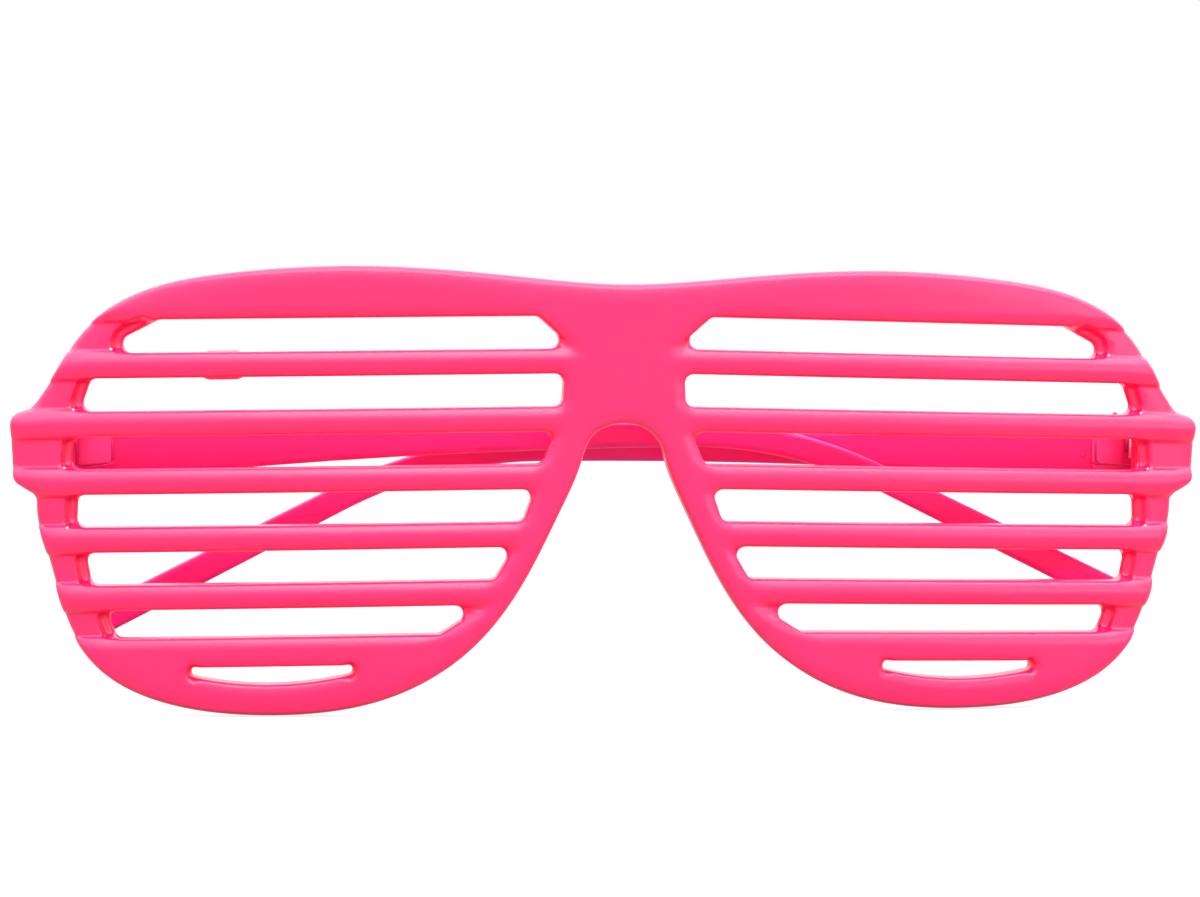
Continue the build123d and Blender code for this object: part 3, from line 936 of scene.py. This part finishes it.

# %% [markdown]
# Round three sides of each plate lies a dark line, which is painted shade of the gap round the
# plate, and beside it the plastic has swelled into uneven beads. Curve objects with a round bevel
# could draw them all. As tubes they are meshes from the start, and need no conversion before the
# export.

# %% Painted shade lines and swells round the hinge plates
# These lines are painted shade: the gaps round the plates, and a stripe of shade inside the right
# plate's outer edge.
LEFT_LINE = [(-66.9, -1.9), (-66.9, -5.85), (-62.62, -5.5), (-62.58, -1.9)]
RIGHT_LINE = [(63.12, -1.9), (63.12, -5.5), (68.1, -5.75), (68.15, -1.9)]
RIGHT_INNER_LINE = [(67.2, -1.9), (67.2, -3.0), (67.2, -4.1)]
LEFT_SWELL = [(-66.2, -6.02), (-64.6, -5.95), (-63.3, -5.8), (-62.5, -5.55), (-62.15, -5.25)]
RIGHT_SWELL = [(62.6, -5.1), (62.9, -5.35), (63.3, -5.65), (63.8, -5.85)]
RIGHT_BEAD = [(61.45, -4.45)]
RIGHT_GLINT_LINE = [(67.75, -2.0), (67.8, -3.4), (67.65, -4.8)]

left_line = tube(on_plate(bent(LEFT_LINE, 0.45), *LEFT_PLATE), 0.12)
right_lines = [tube(on_plate(bent(RIGHT_LINE, 0.7), *RIGHT_PLATE), 0.14),
               tube(on_plate(RIGHT_INNER_LINE, *RIGHT_PLATE), 0.16)]
plate_shade_lines = [together("left_plate_line", [left_line], "left_arm"),
               together("right_plate_line", right_lines, "right_arm")]
left_swell = tube(on_plate(LEFT_SWELL, *LEFT_PLATE), [0.08, 0.16, 0.18, 0.26, 0.18])
right_swells = [tube(on_plate(RIGHT_SWELL, *RIGHT_PLATE), [0.18, 0.26, 0.18, 0.08]),
                ball(on_plate(RIGHT_BEAD, *RIGHT_PLATE, proud=0.1)[0], 0.24)]
plate_swells = [together("left_plate_swell", [left_swell], "left_arm"),
                together("right_plate_swell", right_swells, "right_arm")]
# A pale tube at the right plate's outer edge is a painted glint.
rim_glint = tube(on_plate(RIGHT_GLINT_LINE, *RIGHT_PLATE), [0.22, 0.3, 0.16])
plate_glint = together("right_plate_painted_glint", [rim_glint], "right_arm")
print("marks on the plates:", [m.name for m in plate_shade_lines + plate_swells + [plate_glint]])

# %% [markdown]
# A pale ball stands in the lower corner of each panel as a painted glint, where the light catches
# the corner, and a nub of flash, in the dark of painted shade, stands on one slat. The balls' depth
# could be typed in, but a ray cast onto the front finds it, so they still touch it if its shape
# changes.

# %% Painted glints and flash
# Pale balls at these places paint glints in the panels' corners.
GLINT_ROUND, NUB_ROUND = 0.17, 0.36
GLINT_SPOTS = np.array([(62.15, 8.64), (66.68, 1.31), (67.8, -5.78), (67.45, -13.0)])
NUB = (64.0, 6.9, 1.05)
glint_places = np.vstack((GLINT_SPOTS, GLINT_SPOTS * (-1, 1)))
glint_hits = [front.ray_cast(Vector((x, -50, z)) * MM, Vector((0, 1, 0)))[1].y / MM
            for x, z in glint_places]
glint_skins = [ball((x, y, z), GLINT_ROUND) for (x, z), y in zip(glint_places, glint_hits)]
glint_balls = together("panel_painted_glints", glint_skins, "front")
# The nub takes the dark of painted shade.
nub = together("flash_nub", [ball(NUB, NUB_ROUND)], "front")
print("pips at depths", np.round(glint_hits, 2))

# %% [markdown]
# ## Plastic and metal
#
# The plastic is a bright, slightly see-through pink with a high gloss. Its red is at the top
# of the range, so light and shade show mostly in the green and blue. A plain glossy colour
# would turn grey in the shade. Red light therefore scatters some millimetres through it, which
# keeps the shaded sides and the thin slats saturated. Its colour drifts slowly, as in cheap
# plastic, and fine bumps stand for the flow marks of the mould.

# %% Materials
def new_material(name, colour, roughness, metallic=0.0, coat=0.0):
    """A material with one Principled shader, and that shader and its tree for further work."""
    finish = bpy.data.materials.new(name)
    finish.use_nodes = True
    shader = finish.node_tree.nodes["Principled BSDF"]
    shader.inputs["Base Color"].default_value = (*colour, 1)
    shader.inputs["Roughness"].default_value = roughness
    shader.inputs["Metallic"].default_value = metallic
    shader.inputs["Coat Weight"].default_value = coat
    shader.inputs["Coat Roughness"].default_value = 0.18
    return finish, finish.node_tree, shader


def noise_bump(tree, shader, scale, strength, distance):
    """Unevenness of the surface from noise in object space. Gives back the place node."""
    place = tree.nodes.new("ShaderNodeTexCoord")
    noise = tree.nodes.new("ShaderNodeTexNoise")
    noise.inputs["Scale"].default_value = scale
    noise.inputs["Detail"].default_value = 3.0
    bump = tree.nodes.new("ShaderNodeBump")
    bump.inputs["Strength"].default_value = strength
    bump.inputs["Distance"].default_value = distance
    tree.links.new(place.outputs["Object"], noise.inputs["Vector"])
    tree.links.new(noise.outputs["Fac"], bump.inputs["Height"])
    tree.links.new(bump.outputs["Normal"], shader.inputs["Normal"])
    return place


screw_metal, tree, shader = new_material("screw_metal", (0.62, 0.60, 0.60), 0.3, metallic=1.0)
noise_bump(tree, shader, 1500.0, 0.2, 0.00004)
print("made", screw_metal.name)

# %% [markdown]
# Two pinks close to each other are mixed by slow noise. The dark red in the slots' outer ends is
# painted shade. It could be a material of its own, but then it would have a hard edge, so it is
# mixed in by the mesh's attribute. The temples are a slightly bluer pink, with less gloss than the
# front.

# %% Pink plastic
FIRST, SECOND, MIXED = 6, 7, 2      # the colour sockets of a Mix node
# The dark red that is painted as shade in the slots' outer ends and at the crescents' tips.
PAINTED_SHADE_RED = (0.72, 0.0, 0.06)


def pink_plastic(name, pale, deep, roughness, coat, specular):
    """Pink whose colour drifts slowly over the moulding between two tones, and turns to a dark red
    of painted shade by the share that the mesh holds as its attribute shade."""
    finish, tree, shader = new_material(name, deep, roughness, coat=coat)
    place = noise_bump(tree, shader, 90.0, 0.05, 0.0004)
    drift = tree.nodes.new("ShaderNodeTexNoise")
    drift.inputs["Scale"].default_value = 35.0
    tones = tree.nodes.new("ShaderNodeMix")
    tones.data_type = "RGBA"
    tones.inputs[FIRST].default_value = (*deep, 1)
    tones.inputs[SECOND].default_value = (*pale, 1)
    share = tree.nodes.new("ShaderNodeAttribute")
    share.attribute_name = "shade"
    # This mix paints the shade of the slots' outer ends into the colour.
    sunk = tree.nodes.new("ShaderNodeMix")
    sunk.data_type = "RGBA"
    sunk.inputs[SECOND].default_value = (*PAINTED_SHADE_RED, 1)
    tree.links.new(place.outputs["Object"], drift.inputs["Vector"])
    tree.links.new(drift.outputs["Fac"], tones.inputs["Factor"])
    tree.links.new(share.outputs["Fac"], sunk.inputs["Factor"])
    tree.links.new(tones.outputs[MIXED], sunk.inputs[FIRST])
    tree.links.new(sunk.outputs[MIXED], shader.inputs["Base Color"])
    shader.inputs["Specular IOR Level"].default_value = specular
    shader.inputs["Subsurface Weight"].default_value = 0.3
    shader.inputs["Subsurface Radius"].default_value = (1.0, 0.08, 0.2)
    shader.inputs["Subsurface Scale"].default_value = 0.003
    return finish


front_pink = pink_plastic("pink_plastic_front", (1.0, 0.012, 0.12), (1.0, 0.006, 0.10), 0.28,
                          coat=0.25, specular=0.5)
# The temples are the same plastic as the front. Their bluer tone is partly their own and partly
# painted light, standing in for how light reaches them behind the front.
temple_pink = pink_plastic("pink_plastic_temple", (1.0, 0.026, 0.28), (1.0, 0.020, 0.26), 0.34,
                           coat=0.0, specular=0.25)
print("made", front_pink.name, "and", temple_pink.name)

# %% [markdown]
# The hinge plates are metal, but they show the pink around them so strongly that a plain grey metal
# looks wrong. So their finish is half metal with that pink reflection painted into its own colour.
# The dark lines are painted shade of the gaps round the plates, and the pale balls and tube are
# painted glints where they catch the light.

# %% Finishes on the pieces
# The pink in this metal's colour is a painted reflection of the plastic round it.
plate_metal_with_painted_reflection, tree, shader = new_material("metal_with_painted_reflection", (0.95, 0.05, 0.30), 0.3, metallic=0.5)
noise_bump(tree, shader, 900.0, 0.15, 0.00005)
# This dark pink paints shade: the gaps round the plates and the nub's dark.
painted_shade_pink, _, _ = new_material("painted_shade_line", (0.5, 0.01, 0.13), 0.5)
# This pale pink paints glints.
painted_glint_pink, _, _ = new_material("painted_glint", (1.0, 0.62, 0.75), 0.15, coat=0.5)


def dress(thing, finish):
    """Puts one finish on a piece."""
    thing.data.materials.clear()
    thing.data.materials.append(finish)


for piece in (front, right_lug, left_lug, ejector_pad):
    dress(piece, front_pink)
    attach(piece, "front")
# The dark lines and the nub get painted shade, the swells the temples' pink, and the pale balls and
# tube painted glints.
for finish, pieces in ((painted_shade_pink, plate_shade_lines + [nub]), (temple_pink, plate_swells),
                       (painted_glint_pink, [glint_balls, plate_glint])):
    for piece in pieces:
        dress(piece, finish)
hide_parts("front_frame")
for name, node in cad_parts.items():
    finish = screw_metal if "screw" in name else plate_metal_with_painted_reflection if "leaf" in name else temple_pink
    if name != "front_frame":
        for slot in node.material_slots:
            slot.material = finish
print("materials:", [m.name for m in bpy.data.materials])

# %% [markdown]
# ## Floor
#
# The ground is plain white. A white floor under these lamps would come out grey, or throw too
# much light back up at the glasses. So the floor is a mid grey that glows towards the camera
# only, and a little in reflections. It still shows a faint shadow under the lenses.

# %% Floor
FLOOR_GAP = 0.25
FLOOR_HALF = 3000.0
FLOOR_GLOW, FLOOR_SHEEN = 0.82, 0.2
floor_z = -DROP - FLOOR_GAP
floor = mesh_object("floor", [(-FLOOR_HALF, -FLOOR_HALF, floor_z),
                              (FLOOR_HALF, -FLOOR_HALF, floor_z),
                              (FLOOR_HALF, FLOOR_HALF, floor_z),
                              (-FLOOR_HALF, FLOOR_HALF, floor_z)], quads=[(0, 1, 2, 3)])
paper, tree, shader = new_material("white_paper", (0.22, 0.22, 0.22), 0.9)
shader.inputs["Specular IOR Level"].default_value = 0.0
glow = tree.nodes.new("ShaderNodeEmission")
glow.inputs["Color"].default_value = (1, 1, 1, 1)
ray = tree.nodes.new("ShaderNodeLightPath")
sheen = tree.nodes.new("ShaderNodeMath")
sheen.operation = "MULTIPLY"
sheen.inputs[1].default_value = FLOOR_SHEEN
share = tree.nodes.new("ShaderNodeMath")
share.operation = "MULTIPLY_ADD"
share.inputs[1].default_value = FLOOR_GLOW
both = tree.nodes.new("ShaderNodeAddShader")
tree.links.new(ray.outputs["Is Camera Ray"], share.inputs[0])
tree.links.new(ray.outputs["Is Glossy Ray"], sheen.inputs[0])
tree.links.new(sheen.outputs[0], share.inputs[2])
tree.links.new(share.outputs[0], glow.inputs["Strength"])
tree.links.new(shader.outputs[0], both.inputs[0])
tree.links.new(glow.outputs[0], both.inputs[1])
tree.links.new(both.outputs[0], tree.nodes["Material Output"].inputs["Surface"])
dress(floor, paper)
print("floor at", round(floor_z, 2), "mm")

# %% [markdown]
# ## World
#
# Such glasses are photographed in a white tent, brighter overhead than at the sides. An image
# of a studio could light them, but a few nodes do the same: the brightness rises with the
# height of the direction, and the camera itself sees plain white. Reflections see a brighter
# lower half than plain light does, which keeps the gloss on the slats' undersides.

# %% World
TENT_LOW = 0.4
TENT_GLOSS = 1.15
TENT_HIGH = 3.0
world = bpy.data.worlds.new("studio")
bpy.context.scene.world = world
world.use_nodes = True
tree = world.node_tree
tree.nodes.clear()
out = tree.nodes.new("ShaderNodeOutputWorld")
tent = tree.nodes.new("ShaderNodeBackground")
tent.inputs["Color"].default_value = (1, 1, 1, 1)
white = tree.nodes.new("ShaderNodeBackground")
white.inputs["Color"].default_value = (1, 1, 1, 1)
white.inputs["Strength"].default_value = 1.0
way = tree.nodes.new("ShaderNodeTexCoord")
parts = tree.nodes.new("ShaderNodeSeparateXYZ")
ray = tree.nodes.new("ShaderNodeLightPath")
lowest = tree.nodes.new("ShaderNodeMapRange")
lowest.inputs["To Min"].default_value = TENT_LOW
lowest.inputs["To Max"].default_value = TENT_GLOSS
rising = tree.nodes.new("ShaderNodeMapRange")
rising.interpolation_type = "SMOOTHSTEP"
rising.inputs["From Min"].default_value = 0.1
rising.inputs["From Max"].default_value = 0.9
rising.inputs["To Max"].default_value = TENT_HIGH
blend = tree.nodes.new("ShaderNodeMixShader")
print("tent from", TENT_LOW, "to", TENT_HIGH)

# %% [markdown]
# The links say which ray sees what. Light Path tells the rays apart, where two worlds and two
# renders would be needed otherwise.

# %% Links of the world
tree.links.new(ray.outputs["Is Glossy Ray"], lowest.inputs["Value"])
tree.links.new(lowest.outputs["Result"], rising.inputs["To Min"])
tree.links.new(way.outputs["Generated"], parts.inputs[0])
tree.links.new(parts.outputs["Z"], rising.inputs["Value"])
tree.links.new(rising.outputs["Result"], tent.inputs["Strength"])
tree.links.new(ray.outputs["Is Camera Ray"], blend.inputs["Fac"])
tree.links.new(tent.outputs[0], blend.inputs[1])
tree.links.new(white.outputs[0], blend.inputs[2])
tree.links.new(blend.outputs[0], out.inputs["Surface"])
print("links in the world:", len(tree.links))

# %% [markdown]
# ## Lamps
#
# Three soft lamps stand in the tent. The key hangs over the front and draws the pale line on
# each slat. The fill stands far to the right and makes that side paler. The third lights the
# temples through the slots. It has no reflection, which would show as a spot on the bridge.

# %% Lamps
def lamp(name, place, size, power):
    """A rectangular lamp at a place in metres, turned towards the middle of the glasses."""
    light = bpy.data.lights.new(name, "AREA")
    light.shape = "RECTANGLE"
    light.size, light.size_y = size
    light.energy = power
    thing = bpy.data.objects.new(name, light)
    thing.location = place
    thing.rotation_euler = (-Vector(place)).to_track_quat("-Z", "Y").to_euler()
    bpy.context.collection.objects.link(thing)
    return thing


lamp("key", (0.12, -0.32, 0.6), size=(0.8, 0.4), power=2.4)
lamp("fill", (0.95, -1.1, 0.12), size=(0.8, 0.8), power=2.8)
front_light = lamp("front_light", (0.0, -0.47, 0.39), size=(0.28, 0.28), power=2.6)
front_light.visible_glossy = False
